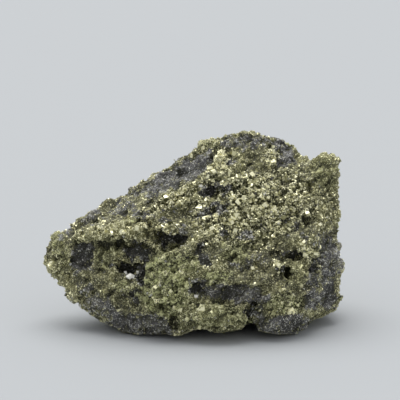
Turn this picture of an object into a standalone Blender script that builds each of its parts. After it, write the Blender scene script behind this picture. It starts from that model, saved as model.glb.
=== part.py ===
"""A hand specimen of granular pyrite grown through with dark fluorite, as one broken stone.

The stone lies on its broken underside. X runs along it from the left tip to the blunt right side,
Y runs from the front to the back and Z is up. The origin is under its middle, on the ground.
"""

import math
import random

import bmesh
import bpy
from mathutils import Euler, Vector, noise
from mathutils.bvhtree import BVHTree

MM = 0.001

# Driving dimensions
STONE_WIDTH = 100 * MM
CELL = 1.15 * MM            # the mesh that the relief is modelled on
FINE_CELL = 0.85 * MM       # the finer mesh that closes the overhangs afterwards
UNDERSIDE_FADE = 4 * MM     # the relief fades out on the underside this near the ground
CORNER_ROUNDING = 3         # smoothing passes over the broken edges
BODY_TRIANGLES = 8300       # after thinning, before the crystals are added

LUMP_SIZE = 11 * MM
LUMP_HEIGHT = 1.5 * MM
BREAK_SIZE = 21 * MM        # broad hollows and swells of the broken back and sides
BREAK_HEIGHT = 4.0 * MM
BREAK_PATTERN = Vector((0.4, 2.2, 5.1))
POCKET_SIZE = 8 * MM        # pockets in the back and sides, like those in front
POCKET_DEPTH = 3.0 * MM
POCKET_WALL = (0.28, 0.48)  # the noise values between which a pocket's wall falls
STEP_SIZE = 15 * MM         # ledges: how far apart, how much the surface swings, and each step
STEP_SWING = 3.0 * MM
STEP_HEIGHT = 1.3 * MM
STEP_RISER = (0.35, 0.65)   # the part of each step that is the steep riser
STEPS_IN_FRONT = 0.4        # how much of the all-round ledges the front keeps
STEP_PATTERN = Vector((3, 1, 7))
BLOCK_SIZE = 3.2 * MM       # crystal blocks that make up the broken surface
BLOCK_HEIGHT = 0.65 * MM
BLOCK_TILT = 0.32
TILT_PATTERN, HEIGHT_PATTERN = 37.3, 91.7
GRIT_SIZE = 1.7 * MM
GRIT_HEIGHT = 0.22 * MM

CRYSTAL_COUNT = 40
CRYSTAL_EDGE = (1.6 * MM, 2.6 * MM)
CRYSTAL_SINK = 0.2          # how far the middle of each lies under the surface, of its edge
CRYSTAL_GAP = 5.0 * MM      # least distance between two crystals
CRYSTALS_ABOVE = 6 * MM     # none stands out nearer the ground than this
SEED = 11                   # for the crystals' places and the wander of the pits' edges
SHORTEST_EDGE = 0.02 * MM
NODE_NAME = "fluorite_pyrite_rock"

# The view that the places below are read from: columns and rows of a 400 x 400 picture
VIEW_ELEVATION = math.radians(12)
LEFT_COLUMN, RIGHT_COLUMN = 46, 341
MIDDLE_COLUMN = (LEFT_COLUMN + RIGHT_COLUMN) / 2
FOOT_ROW = 339
FOOT_TOWARD = 25 * MM       # how far in front of the middle the stone's foot is
PIXEL = STONE_WIDTH / (RIGHT_COLUMN - LEFT_COLUMN)

RIGHT = Vector((1, 0, 0))
UPWARD = Vector((0, math.sin(VIEW_ELEVATION), math.cos(VIEW_ELEVATION)))
TOWARD = Vector((0, -math.cos(VIEW_ELEVATION), math.sin(VIEW_ELEVATION)))
FOOT_UP = -FOOT_TOWARD * math.tan(VIEW_ELEVATION)

# Corners of the broken form: column, row, millimetres towards the viewer
LEFT_TIP = ((55, 253, 0), (55, 267, 1), (58, 239, 2), (62, 285, 6), (59, 261, 8))
SKYLINE = ((69, 228, 0), (88, 220, 0), (104, 212, -2), (145, 188, -4), (182, 166, -5),
           (206, 141, -6), (226, 132, -6), (244, 129, -6), (262, 136, -6), (278, 145, -6),
           (312, 151, -8), (328, 154, -8))
RIGHT_SIDE = ((337, 160, -8), (338, 176, -6), (339, 214, -4), (337, 262, -2), (331, 286, 0),
              (333, 309, 4), (318, 315, 8))
FOOT = ((66, 296, 8), (77, 309, 10), (106, 327, 11), (124, 331, 16), (150, 331, 20), (178, 332, 21),
        (215, 331, 21), (276, 332, 20), (297, 331, 16))
FRONT = ((72, 252, 11), (96, 240, 15), (157, 240, 20), (110, 300, 18), (150, 300, 24),
         (215, 300, 29), (262, 296, 27), (312, 285, 19), (205, 240, 22), (300, 225, 14),
         (318, 240, 12), (235, 178, 7), (180, 200, 12), (322, 178, 0), (130, 215, 8))
BACK = ((70, 262, -8), (92, 300, -11), (105, 228, -14), (150, 192, -17), (152, 303, -22),
        (120, 280, -19), (205, 158, -19), (255, 150, -21), (302, 172, -20), (322, 196, -18),
        (215, 225, -29), (284, 238, -29), (325, 270, -20), (222, 302, -27), (292, 302, -25),
        (322, 300, -14), (176, 250, -26))
SEEN_CORNERS = LEFT_TIP + SKYLINE + RIGHT_SIDE + FOOT + FRONT + BACK

# Corners of the narrower base, just under the ground: column, millimetres to the front
FOOTPRINT = ((112, 4), (130, 10), (154, 15), (182, 17), (215, 17), (272, 15), (292, 10),
             (308, 1), (308, -9), (288, -19), (222, -21), (156, -16), (120, -9))
FOOTPRINT_DEPTH = 2.5 * MM

# Ovals on the front: column, row, half length, half height (pixels), turn, depth (mm)
PITS = (
    (171, 239, 16, 6.5, 4, 6.5),      # hollow under the arched brow
    (159, 236, 7, 5, 0, 3.5),
    (129, 267, 13, 6.5, 0, 5.0),      # dark pit in the left half
    (140, 274, 5, 10, 0, 3.5),
    (136, 252, 15, 6, -8, 2.4),
    (81, 255, 12, 12, 0, 2.2),        # sunk dark patch by the left tip
    (209, 190, 8, 5, 15, 3.2),        # violet pit high on the face
    (223, 186, 10, 3.5, 12, 1.6),
    (212, 207, 15, 5, 12, 1.4),
    (204, 251, 6.5, 12, 8, 2.2),
    (294, 255, 7, 4.5, 0, 4.2),       # the two black pits on the right
    (284, 270, 5.5, 5.5, 0, 4.2),
    (260, 262, 11, 5, 0, 2.2),
    (232, 290, 38, 8, 2, 3.4),        # long recess above the foot block
    (197, 291, 4.5, 6.5, 0, 5.0),
    (173, 321, 4.5, 7, 15, 3.8),      # black gap beside the foot block
    (252, 318, 3.5, 16, -4, 3.4),     # cleft between the two foot blocks
    (275, 203, 6, 2.6, 10, 1.6),
    (305, 219, 4.5, 3, 0, 1.6),
    (134, 296, 4.5, 6, 0, 2.0),
    (283, 296, 3.5, 3.5, 0, 2.4),
    (329, 297, 9, 13, 0, 1.6),
    (108, 226, 6, 4, 20, 1.2),
)
LUMPS = (
    (120, 231, 32, 8, 2, 1.8),        # brow along the ledge
    (173, 227, 17, 6, 6, 2.6),        # arched brow over the hollow
    (213, 315, 37, 13, 2, 2.6),       # foot block in the middle
    (281, 315, 28, 14, 0, 2.4),       # foot block on the right
    (160, 290, 24, 24, 0, 1.8),
    (290, 285, 22, 16, 0, 1.2),
    (278, 266, 6, 5, 0, 1.4),
    (326, 168, 13, 12, 0, 1.2),       # knob at the right end of the skyline
    (57, 256, 10, 15, 0, 0.8),
    (212, 152, 11, 13, 0, 1.2),
    (131, 279, 7, 3.5, 0, 2.0),
    (123, 288, 7, 5, 0, 1.2),
)
# Ledges: the line's two ends (pixels), the drop below it (mm) and how far down it fades (pixels)
LEDGES = (
    (66, 244, 158, 242, 3.2, 20),
    (194, 281, 268, 283, 2.2, 10),
    (112, 309, 176, 313, 1.2, 16),
    (150, 262, 198, 266, 0.9, 14),
)
# Dents seen in the outline: column, row, half width and half height (pixels), push (mm), and the
# push's direction (degrees, 0 to the right and 90 upwards)
DENTS = (
    (308, 150, 8, 9, 4.6, -90),       # saddle between the peak and the knob
    (286, 142, 5, 8, 2.4, -90),       # nick beside the small tip
    (311, 328, 9, 7, 4.4, 125),       # undercut at the right end of the foot
    (249, 338, 9, 9, 5.2, 90),        # arches under the foot blocks
    (231, 338, 8, 9, 3.0, 90),
    (202, 338, 8, 8, 3.2, 90),
    (167, 167, 18, 10, 3.2, -60),     # shallow hollow in the long slope
    (272, 137, 12, 8, 1.0, -110),     # rounded right shoulder of the peak
)
FRONT_EDGE = (0.02, 0.30)       # how squarely a surface faces the viewer where relief fades in
OVAL_WALL = (0.65, 1.2)         # an oval's wall, as parts of its half length
EDGE_RAGGED = 2.2               # pixels that the noise moves an oval's edge
EDGE_WANDER_SIZE = 4 * MM

# Crystals that stand out by themselves: column, row, edge (mm)
NAMED_CRYSTALS = ((131, 276, 3.0), (278, 266, 3.4), (255, 270, 2.4), (121, 231, 2.4),
                  (214, 168, 2.6), (282, 288, 2.0), (148, 226, 2.2), (230, 262, 2.2))


def clear_scene():
    for item in list(bpy.data.objects):
        bpy.data.objects.remove(item, do_unlink=True)


def place(column, row, toward):
    """The point in metres that is seen at a column and row, so far towards the viewer."""
    across = (column - MIDDLE_COLUMN) * PIXEL
    up = (FOOT_ROW - row) * PIXEL + FOOT_UP
    return across * RIGHT + up * UPWARD + toward * TOWARD


def seen_at(point):
    """The column and row where a point is seen."""
    column = MIDDLE_COLUMN + point.dot(RIGHT) / PIXEL
    row = FOOT_ROW - (point.dot(UPWARD) - FOOT_UP) / PIXEL
    return column, row


def smooth_step(low, high, value):
    part = min(max((value - low) / (high - low), 0.0), 1.0)
    return part * part * (3 - 2 * part)


def broken_form():
    """The stone's rough form: the hull of its corners, as an even mesh with rounded edges."""
    bm = bmesh.new()
    for column, row, toward in SEEN_CORNERS:
        bm.verts.new(place(column, row, toward * MM))
    for column, front in FOOTPRINT:
        bm.verts.new(((column - MIDDLE_COLUMN) * PIXEL, -front * MM, -FOOTPRINT_DEPTH))
    hull = bmesh.ops.convex_hull(bm, input=bm.verts)
    inner = [item for item in hull["geom_interior"] if isinstance(item, bmesh.types.BMVert)]
    bmesh.ops.delete(bm, geom=inner, context="VERTS")
    even = even_cells(bm, CELL)
    bm.free()
    for _ in range(CORNER_ROUNDING):
        bmesh.ops.smooth_vert(even, verts=even.verts, factor=0.5,
                              use_axis_x=True, use_axis_y=True, use_axis_z=True)
    return even


def object_from(bm, name):
    mesh = bpy.data.meshes.new(name)
    bm.to_mesh(mesh)
    bm.free()
    item = bpy.data.objects.new(name, mesh)
    bpy.context.scene.collection.objects.link(item)
    return item


def bmesh_of(item):
    """An object's mesh with its modifiers applied, as a bmesh."""
    graph = bpy.context.evaluated_depsgraph_get()
    mesh = bpy.data.meshes.new_from_object(item.evaluated_get(graph))
    bm = bmesh.new()
    bm.from_mesh(mesh)
    bpy.data.meshes.remove(mesh)
    return bm


def even_cells(bm, size):
    """The same shape made again from even cells, as one closed skin with no overlaps."""
    item = object_from(bm.copy(), "uneven")
    remesh = item.modifiers.new("even cells", "REMESH")
    remesh.mode = "VOXEL"
    remesh.voxel_size = size
    even = bmesh_of(item)
    bpy.data.objects.remove(item, do_unlink=True)
    return even


def oval_weight(oval, column, row):
    """1 well inside an oval, 0 outside it, with a steep wall between."""
    middle_column, middle_row, half_length, half_height, turn, _ = oval
    across = column - middle_column
    up = middle_row - row
    angle = math.radians(turn)
    along = (across * math.cos(angle) + up * math.sin(angle)) / half_length
    over = (up * math.cos(angle) - across * math.sin(angle)) / half_height
    return 1 - smooth_step(*OVAL_WALL, math.hypot(along, over))


def ledge_drop(ledge, column, row):
    """How far the surface sinks below a ledge's line, in metres."""
    start_column, start_row, end_column, end_row, drop, fade = ledge
    part = (column - start_column) / (end_column - start_column)
    ends = smooth_step(-0.06, 0.06, part) * (1 - smooth_step(0.94, 1.06, part))
    below = row - (start_row + (end_row - start_row) * part)
    edge = smooth_step(-1.5, 2.0, below)
    return drop * MM * ends * edge * math.exp(-max(below, 0) / fade)


def front_relief(point, normal):
    """The pits, lumps and ledges on the side that faces the viewer, in metres along the normal."""
    facing = smooth_step(*FRONT_EDGE, normal.dot(TOWARD))
    if facing == 0:
        return 0.0
    column, row = seen_at(point)
    wander = noise.noise_vector(point / EDGE_WANDER_SIZE) * EDGE_RAGGED
    column += wander.x
    row += wander.z
    rise = sum(oval_weight(lump, column, row) * lump[-1] for lump in LUMPS) * MM
    sink = max(oval_weight(pit, column, row) * pit[-1] for pit in PITS) * MM
    drop = sum(ledge_drop(ledge, column, row) for ledge in LEDGES)
    return facing * (rise - sink - drop)


def lumps_all_round(point, normal):
    return LUMP_HEIGHT * noise.noise(point / LUMP_SIZE)


def stepped(height):
    """A height turned into flat treads with steep risers between them."""
    level, part = divmod(height / STEP_HEIGHT, 1.0)
    return (level + smooth_step(*STEP_RISER, part)) * STEP_HEIGHT


def ledges_all_round(point, normal):
    """Irregular ledges on every side, weaker in front, where the seen ones are placed."""
    swing = noise.fractal(point / STEP_SIZE + STEP_PATTERN, 1.0, 2.0, 2)
    facing = smooth_step(*FRONT_EDGE, normal.dot(TOWARD))
    return stepped(swing * STEP_SWING) * (1 - facing + facing * STEPS_IN_FRONT)


def dent_push(point):
    """How the dents in the outline move a point, in metres."""
    column, row = seen_at(point)
    push = Vector()
    for middle_column, middle_row, half_width, half_height, amount, heading in DENTS:
        away = ((column - middle_column) / half_width) ** 2 + ((row - middle_row) / half_height) ** 2
        turn = math.radians(heading)
        push += (math.cos(turn) * RIGHT + math.sin(turn) * UPWARD) * amount * MM * math.exp(-away)
    return push


def hidden_relief(point, normal):
    """Swells, hollows and pockets on the sides that face away from the viewer."""
    away = 1 - smooth_step(-0.25, 0.25, normal.dot(TOWARD))
    swell = noise.noise(point / BREAK_SIZE + BREAK_PATTERN) * BREAK_HEIGHT
    pocket = smooth_step(*POCKET_WALL, noise.noise(point / POCKET_SIZE)) * POCKET_DEPTH
    return away * (swell - pocket)


def crystal_blocks(point, normal):
    """Blocks of crystal with flat tilted tops: each cell of a random pattern has its own tilt."""
    _, centres = noise.voronoi(point / BLOCK_SIZE)
    centre = centres[0]
    tilt = noise.cell_vector(centre * TILT_PATTERN) * BLOCK_TILT
    height = noise.cell(centre * HEIGHT_PATTERN) * BLOCK_HEIGHT
    return height + tilt.dot(point / BLOCK_SIZE - centre) * BLOCK_SIZE


def grit(point, normal):
    return GRIT_HEIGHT * noise.noise(point / GRIT_SIZE)


def kept_flat(point, normal):
    """0 on the underside near the ground, where the stone rests, and 1 elsewhere."""
    facing_down = smooth_step(0.55, 0.85, -normal.z)
    return 1 - facing_down * (1 - smooth_step(0, UNDERSIDE_FADE, point.z))


def push_out(bm, shift):
    """Move each vertex along its normal by what shift gives for its point and normal."""
    bm.normal_update()
    moves = [vert.normal * shift(vert.co, vert.normal) * kept_flat(vert.co, vert.normal)
             for vert in bm.verts]
    for vert, move in zip(bm.verts, moves):
        vert.co += move


def add_relief(bm):
    """The lumps, dents, ledges and pits, from the broadest to the smallest."""
    push_out(bm, lumps_all_round)
    for vert in bm.verts:
        vert.co += dent_push(vert.co)
    push_out(bm, ledges_all_round)
    push_out(bm, hidden_relief)
    push_out(bm, front_relief)
    bmesh.ops.smooth_vert(bm, verts=bm.verts, factor=0.35,
                          use_axis_x=True, use_axis_y=True, use_axis_z=True)


def add_grain(bm):
    """The crystal blocks and the grit that cover every side."""
    push_out(bm, crystal_blocks)
    push_out(bm, grit)


def thinned(bm, triangles):
    """The same shape with about so many triangles, few on flat faces and more on edges."""
    bmesh.ops.triangulate(bm, faces=bm.faces)
    ratio = triangles / len(bm.faces)
    item = object_from(bm, "relief")
    thin = item.modifiers.new("thin", "DECIMATE")
    thin.ratio = ratio
    result = bmesh_of(item)
    bpy.data.objects.remove(item, do_unlink=True)
    return result


def crystal_seats(bm):
    """Where the single crystals stand: point, outward direction and edge length of each."""
    tree = BVHTree.FromBMesh(bm)
    seats = []
    for column, row, edge in NAMED_CRYSTALS:
        eye = place(column, row, 2 * STONE_WIDTH)
        point, normal, _, _ = tree.ray_cast(eye, -TOWARD)
        seats.append((point, normal, edge * MM))
    chance = random.Random(SEED)
    faces = [face for face in bm.faces if face.calc_center_median().z > CRYSTALS_ABOVE]
    while len(seats) < CRYSTAL_COUNT:
        face = chance.choice(faces)
        point = face.calc_center_median()
        edge = chance.uniform(*CRYSTAL_EDGE)
        if all((point - other).length > CRYSTAL_GAP for other, _, _ in seats):
            seats.append((point, face.normal.copy(), edge))
    return seats


def crystals(seats):
    """Small cubes, turned at random and sunk half way into the stone, as one object."""
    chance = random.Random(SEED)
    bm = bmesh.new()
    for point, normal, edge in seats:
        cube = bmesh.ops.create_cube(bm, size=edge)["verts"]
        turn = Euler([chance.uniform(0, math.pi) for _ in range(3)]).to_matrix()
        bmesh.ops.rotate(bm, verts=cube, matrix=turn)
        bmesh.ops.translate(bm, verts=cube, vec=point - normal * edge * CRYSTAL_SINK)
    return object_from(bm, "single_crystals")


def combined(body, other, operation):
    """The solid that a union or a difference of two objects gives; both objects are used up."""
    boolean = body.modifiers.new("combined", "BOOLEAN")
    boolean.operation = operation
    boolean.solver = "EXACT"
    boolean.object = other
    result = bmesh_of(body)
    bpy.data.objects.remove(other, do_unlink=True)
    bpy.data.objects.remove(body, do_unlink=True)
    bmesh.ops.triangulate(result, faces=result.faces)
    bmesh.ops.dissolve_degenerate(result, edges=result.edges, dist=SHORTEST_EDGE)
    bmesh.ops.triangulate(result, faces=result.faces)
    return result


def ground_block():
    """A block that fills the space under the ground, to cut the stone off flat."""
    bm = bmesh.new()
    bmesh.ops.create_cube(bm, size=2 * STONE_WIDTH)
    bmesh.ops.translate(bm, verts=bm.verts, vec=(0, 0, -STONE_WIDTH))
    return object_from(bm, "ground_block")


def middle_on_ground(bm):
    """The point on the ground under the middle of the stone's box."""
    across = [vert.co.x for vert in bm.verts]
    deep = [vert.co.y for vert in bm.verts]
    return Vector((min(across) + max(across), min(deep) + max(deep), 0)) / 2


def stone_material():
    """Olive-gold pyrite with grey fluorite, taken as one mean finish."""
    material = bpy.data.materials.new("granular_pyrite_fluorite")
    material.use_nodes = True
    shader = material.node_tree.nodes["Principled BSDF"]
    shader.inputs["Base Color"].default_value = (0.235, 0.225, 0.125, 1)
    shader.inputs["Roughness"].default_value = 0.42
    shader.inputs["Metallic"].default_value = 0.6
    material.diffuse_color = (0.235, 0.225, 0.125, 1)
    return material


def build_stone():
    form = broken_form()
    add_relief(form)
    skin = even_cells(form, FINE_CELL)
    form.free()
    add_grain(skin)
    whole = thinned(skin, BODY_TRIANGLES)
    body = combined(object_from(whole, "whole"), ground_block(), "DIFFERENCE")
    seats = crystal_seats(body)
    stone = combined(object_from(body, "body"), crystals(seats), "UNION")
    middle = middle_on_ground(stone)
    bmesh.ops.translate(stone, verts=stone.verts, vec=-middle)
    stone_object = object_from(stone, NODE_NAME)
    stone_object.data.materials.append(stone_material())
    return stone_object, middle


clear_scene()
noise.seed_set(SEED)
stone_object, middle = build_stone()
print(NODE_NAME, "size in mm:", [round(side / MM, 1) for side in stone_object.dimensions])
print("moved over the origin by (mm):", [round(-part / MM, 2) for part in middle])
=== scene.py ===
# %% [markdown]
# # Granular pyrite with fluorite
# This lesson dresses a broken hand specimen of ore. The real stone is one intergrown mass: sugary
# grains of pyrite, olive gold and metallic, and between them dark grey fluorite in bands, patches
# and pits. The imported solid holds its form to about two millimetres. Here it gets what the eye sees
# from close by: the crust of grains, each one a small crystal with flat faces, and the finish of
# both minerals.

# %% Load the frame
import math

import bmesh
import bpy
import numpy as np
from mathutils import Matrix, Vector, noise


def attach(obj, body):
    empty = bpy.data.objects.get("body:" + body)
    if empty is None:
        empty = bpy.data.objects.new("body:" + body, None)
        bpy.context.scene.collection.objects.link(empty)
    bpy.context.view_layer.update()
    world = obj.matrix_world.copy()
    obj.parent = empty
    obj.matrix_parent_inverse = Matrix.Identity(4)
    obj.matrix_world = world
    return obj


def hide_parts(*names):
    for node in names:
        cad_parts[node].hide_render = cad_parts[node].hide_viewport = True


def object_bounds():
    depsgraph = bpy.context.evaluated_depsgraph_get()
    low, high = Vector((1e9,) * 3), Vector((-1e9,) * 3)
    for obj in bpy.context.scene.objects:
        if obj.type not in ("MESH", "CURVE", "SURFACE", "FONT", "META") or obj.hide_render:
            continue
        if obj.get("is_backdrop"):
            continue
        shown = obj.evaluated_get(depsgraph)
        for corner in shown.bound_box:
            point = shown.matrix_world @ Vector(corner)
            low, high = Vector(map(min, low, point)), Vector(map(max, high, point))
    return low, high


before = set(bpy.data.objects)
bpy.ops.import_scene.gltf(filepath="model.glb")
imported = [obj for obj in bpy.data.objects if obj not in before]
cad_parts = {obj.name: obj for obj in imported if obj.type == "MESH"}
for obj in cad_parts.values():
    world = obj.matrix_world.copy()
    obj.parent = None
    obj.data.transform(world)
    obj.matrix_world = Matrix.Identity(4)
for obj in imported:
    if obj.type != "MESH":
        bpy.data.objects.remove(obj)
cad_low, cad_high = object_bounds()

MM = 0.001
STONE = "fluorite_pyrite_rock"
print("stone, mm:", [round(side / MM, 1) for side in cad_high - cad_low])

# %% [markdown]
# The camera looks at the stone from twelve degrees above the shelf. Everything on the front is
# placed in that view, by a column and a row of a frame 400 wide, because that is how an eye reads
# a stone: the pit is left of the ledge, the band runs up to the right. The stone spans 295 of the
# columns and is 100 mm wide, which gives the size of one step of the grid. A long lens keeps the
# perspective weak, as in a specimen photograph.

# %% The view
STONE_WIDTH = 100 * MM
LEFT_COLUMN, RIGHT_COLUMN = 46, 341
FRAME_WIDTH = 400
FRAME_MIDDLE = FRAME_WIDTH // 2
PIXEL = STONE_WIDTH / (RIGHT_COLUMN - LEFT_COLUMN)
# where the origin is seen, which lies under the middle of the stone
ORIGIN_COLUMN, ORIGIN_ROW = 194.2, 320.1
VIEW_ELEVATION = math.radians(12)
CAMERA_DISTANCE = 0.9
SENSOR = 36

RIGHT = Vector((1, 0, 0))
UPWARD = Vector((0, math.sin(VIEW_ELEVATION), math.cos(VIEW_ELEVATION)))
TOWARD = Vector((0, -math.cos(VIEW_ELEVATION), math.sin(VIEW_ELEVATION)))
AIM = (FRAME_MIDDLE - ORIGIN_COLUMN) * PIXEL * RIGHT + (ORIGIN_ROW - FRAME_MIDDLE) * PIXEL * UPWARD
EYE = AIM + CAMERA_DISTANCE * TOWARD


def make_camera():
    """The camera, on its long lens, as far off as a photographer would stand."""
    data = bpy.data.cameras.new("camera")
    data.sensor_width = SENSOR
    data.lens = SENSOR * CAMERA_DISTANCE / (FRAME_WIDTH * PIXEL)
    camera = bpy.data.objects.new("camera", data)
    camera.location = EYE
    camera.rotation_euler = (math.pi / 2 - VIEW_ELEVATION, 0, 0)
    bpy.context.scene.collection.objects.link(camera)
    bpy.context.scene.camera = camera
    print("lens, mm:", round(data.lens))


make_camera()

# %% [markdown]
# Whatever is drawn in the view has to find its way to the stone, so the script must know where the
# camera sees a given point. How far ahead the point lies gives the scale there, and the scale turns
# its offsets from the eye into a column and a row.


# %% Where a point is seen
def seen_at(points):
    """The column and row at which the camera sees each point of an array."""
    offset = points - np.array(EYE)
    ahead = -offset @ np.array(TOWARD)
    scale = CAMERA_DISTANCE / (ahead * PIXEL)
    column = FRAME_MIDDLE + offset @ np.array(RIGHT) * scale
    row = FRAME_MIDDLE - offset @ np.array(UPWARD) * scale
    return column, row


origin_column, origin_row = seen_at(np.zeros((1, 3)))
print("origin seen at:", origin_column.round(1), origin_row.round(1))

# %% [markdown]
# A specimen is photographed on a pale sweep under one broad soft light. A sun lamp with a wide
# angle is such a light: it is even over the whole floor, and its edge is soft enough to leave only
# a dark seam under the overhangs. It shines from a little behind the stone, so the tops of the lumps
# are brighter than the front. A pale world fills the shadows. Metal shows what it mirrors, so the
# step from the lamp to the fainter world is also what makes single grains flash.

# %% Light and floor
LAMP_STRENGTH = 2.25
LAMP_ANGLE = math.radians(60)
LAMP_TILT = (math.radians(-20), math.radians(-5), 0)
WORLD_COLOUR = (0.95, 0.97, 1.0, 1)
WORLD_STRENGTH = 0.64
FLOOR_COLOUR = (0.455, 0.470, 0.480, 1)
FLOOR_ROUGHNESS = 0.9
FLOOR_REACH = 4.0


def make_light():
    """One broad lamp overhead, leaning to the back, and a pale, slightly blue world."""
    data = bpy.data.lights.new("lamp", "SUN")
    data.energy = LAMP_STRENGTH
    data.angle = LAMP_ANGLE
    lamp = bpy.data.objects.new("lamp", data)
    lamp.rotation_euler = LAMP_TILT
    bpy.context.scene.collection.objects.link(lamp)
    world = bpy.data.worlds.new("studio")
    world.use_nodes = True
    background = world.node_tree.nodes["Background"]
    background.inputs["Color"].default_value = WORLD_COLOUR
    background.inputs["Strength"].default_value = WORLD_STRENGTH
    bpy.context.scene.world = world
    bpy.context.scene.view_settings.view_transform = "Standard"


def make_floor():
    """The pale floor: one large flat disc under the stone."""
    form = bmesh.new()
    bmesh.ops.create_circle(form, cap_ends=True, segments=64, radius=FLOOR_REACH)
    mesh = bpy.data.meshes.new("floor")
    form.to_mesh(mesh)
    form.free()
    material = bpy.data.materials.new("pale_floor")
    material.use_nodes = True
    shader = material.node_tree.nodes["Principled BSDF"]
    shader.inputs["Base Color"].default_value = FLOOR_COLOUR
    shader.inputs["Roughness"].default_value = FLOOR_ROUGHNESS
    mesh.materials.append(material)
    floor = bpy.data.objects.new("floor", mesh)
    bpy.context.scene.collection.objects.link(floor)
    floor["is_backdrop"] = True


make_light()
make_floor()

# %% [markdown]
# The stone's skin is what lies under and between the grains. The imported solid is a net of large
# triangles, too coarse to take a fine surface, so a merged copy of it is cut into even cells with a
# voxel remesh. Two passes of smoothing take the stair steps of the cells away again.

# %% The skin's form
JOIN_DISTANCE = 0.005 * MM
SKIN_CELL = 0.56 * MM
SKIN_SMOOTHING = 2


def merged_copy(node, name):
    """A new object with the node's mesh, its loose triangles joined along their edges."""
    form = bmesh.new()
    form.from_mesh(node.data)
    bmesh.ops.remove_doubles(form, verts=form.verts, dist=JOIN_DISTANCE)
    mesh = bpy.data.meshes.new(name)
    form.to_mesh(mesh)
    form.free()
    piece = bpy.data.objects.new(name, mesh)
    bpy.context.scene.collection.objects.link(piece)
    return piece


def even_cells(piece, cell):
    """Gives the piece a closed net of even cells."""
    remesh = piece.modifiers.new("cells", "REMESH")
    remesh.mode = "VOXEL"
    remesh.voxel_size = cell
    remesh.adaptivity = 0
    graph = bpy.context.evaluated_depsgraph_get()
    old = piece.data
    piece.data = bpy.data.meshes.new_from_object(piece.evaluated_get(graph))
    piece.modifiers.clear()
    bpy.data.meshes.remove(old)


def softened(piece, passes):
    """Takes the stair steps of the cells away."""
    form = bmesh.new()
    form.from_mesh(piece.data)
    for _ in range(passes):
        bmesh.ops.smooth_vert(form, verts=form.verts, factor=0.5, use_axis_x=True,
                              use_axis_y=True, use_axis_z=True)
    form.to_mesh(piece.data)
    form.free()


def vertex_arrays(mesh):
    """The places and normals of a mesh's vertices, as arrays."""
    points = np.empty(len(mesh.vertices) * 3)
    mesh.vertices.foreach_get("co", points)
    normals = np.empty(len(mesh.vertices) * 3)
    mesh.vertices.foreach_get("normal", normals)
    return points.reshape(-1, 3), normals.reshape(-1, 3)


skin = merged_copy(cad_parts[STONE], "stone_skin")
even_cells(skin, SKIN_CELL)
softened(skin, SKIN_SMOOTHING)
print("skin cells:", len(skin.data.polygons))

# %% [markdown]
# Two minerals make the pattern, and three shades of pyrite. On the front each patch is an oval laid
# over the view: its middle, its half length and half height, how far it is turned, and how strong
# it is. An oval is enough, since the grains break up its rim. The sides and the back, which no
# photograph shows, follow the ore's own habit: layers that rise to the right, drawn with a noise
# that is stretched along the layers. A little of that habit shows between the ovals too.

# %% The map of the minerals
# column, row, half length, half height, turn in degrees, strength
FLUORITE_PATCHES = (
    (178, 173, 37, 10, 28, 1.0), (208, 157, 7, 7, 50, 0.9), (143, 189, 14, 6, 35, 0.6),
    (122, 207, 14, 7, 20, 0.6), (142, 214, 13, 4.5, -8, 0.75), (92, 215, 10, 4, 30, 0.7),
    (66, 233, 7, 4, 40, 0.8), (81, 256, 12, 12, 0, 1.0), (82, 270, 9, 5, 0, 0.6),
    (136, 251, 15, 6, -12, 1.0), (143, 262, 5, 9, 0, 0.9), (126, 267, 10, 5, 0, 1.0),
    (140, 274, 5, 9, 0, 1.0), (135, 295, 4, 8, 0, 0.85), (125, 297, 8, 4, 0, 0.5),
    (88, 292, 18, 8, -45, 0.5), (104, 308, 24, 9, -25, 0.7), (142, 327, 36, 13, -4, 0.9),
    (170, 239, 16, 6, 0, 1.0), (164, 220, 7, 3, 0, 0.8), (182, 228, 5, 5, 0, 0.7),
    (204, 255, 13, 5, -68, 0.75), (198, 286, 7, 9, 0, 1.0), (226, 292, 34, 6.5, -3, 0.95),
    (257, 298, 16, 6, -15, 0.9), (250, 318, 4, 12, 0, 0.9), (285, 327, 30, 12, 3, 0.95),
    (258, 312, 6, 10, 0, 0.7), (329, 297, 8, 14, 5, 1.0), (329, 262, 9, 28, 0, 0.9),
    (314, 300, 9, 11, 0, 0.85), (313, 282, 7, 8, 0, 0.8), (319, 266, 12, 4, 50, 0.85),
    (323, 243, 6, 10, 0, 0.6), (306, 236, 4, 5, 0, 0.8), (288, 217, 5, 4, 0, 0.8),
    (296, 225, 5, 4, 0, 0.8), (247, 235, 9, 6, 20, 0.7), (226, 231, 4, 4, 0, 0.7),
    (258, 259, 10, 5, -5, 0.75), (240, 265, 14, 4, 0, 0.55), (290, 253, 8, 3, 0, 0.8),
    (209, 190, 7, 5, 20, 1.0), (224, 187, 10, 4.5, 5, 0.8), (215, 208, 19, 5, 18, 0.75),
    (246, 141, 24, 8, 3, 0.75), (233, 160, 5, 5, 0, 0.8), (286, 149, 17, 7, -45, 0.95),
    (288, 160, 10, 5, -15, 0.95),
)
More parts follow.
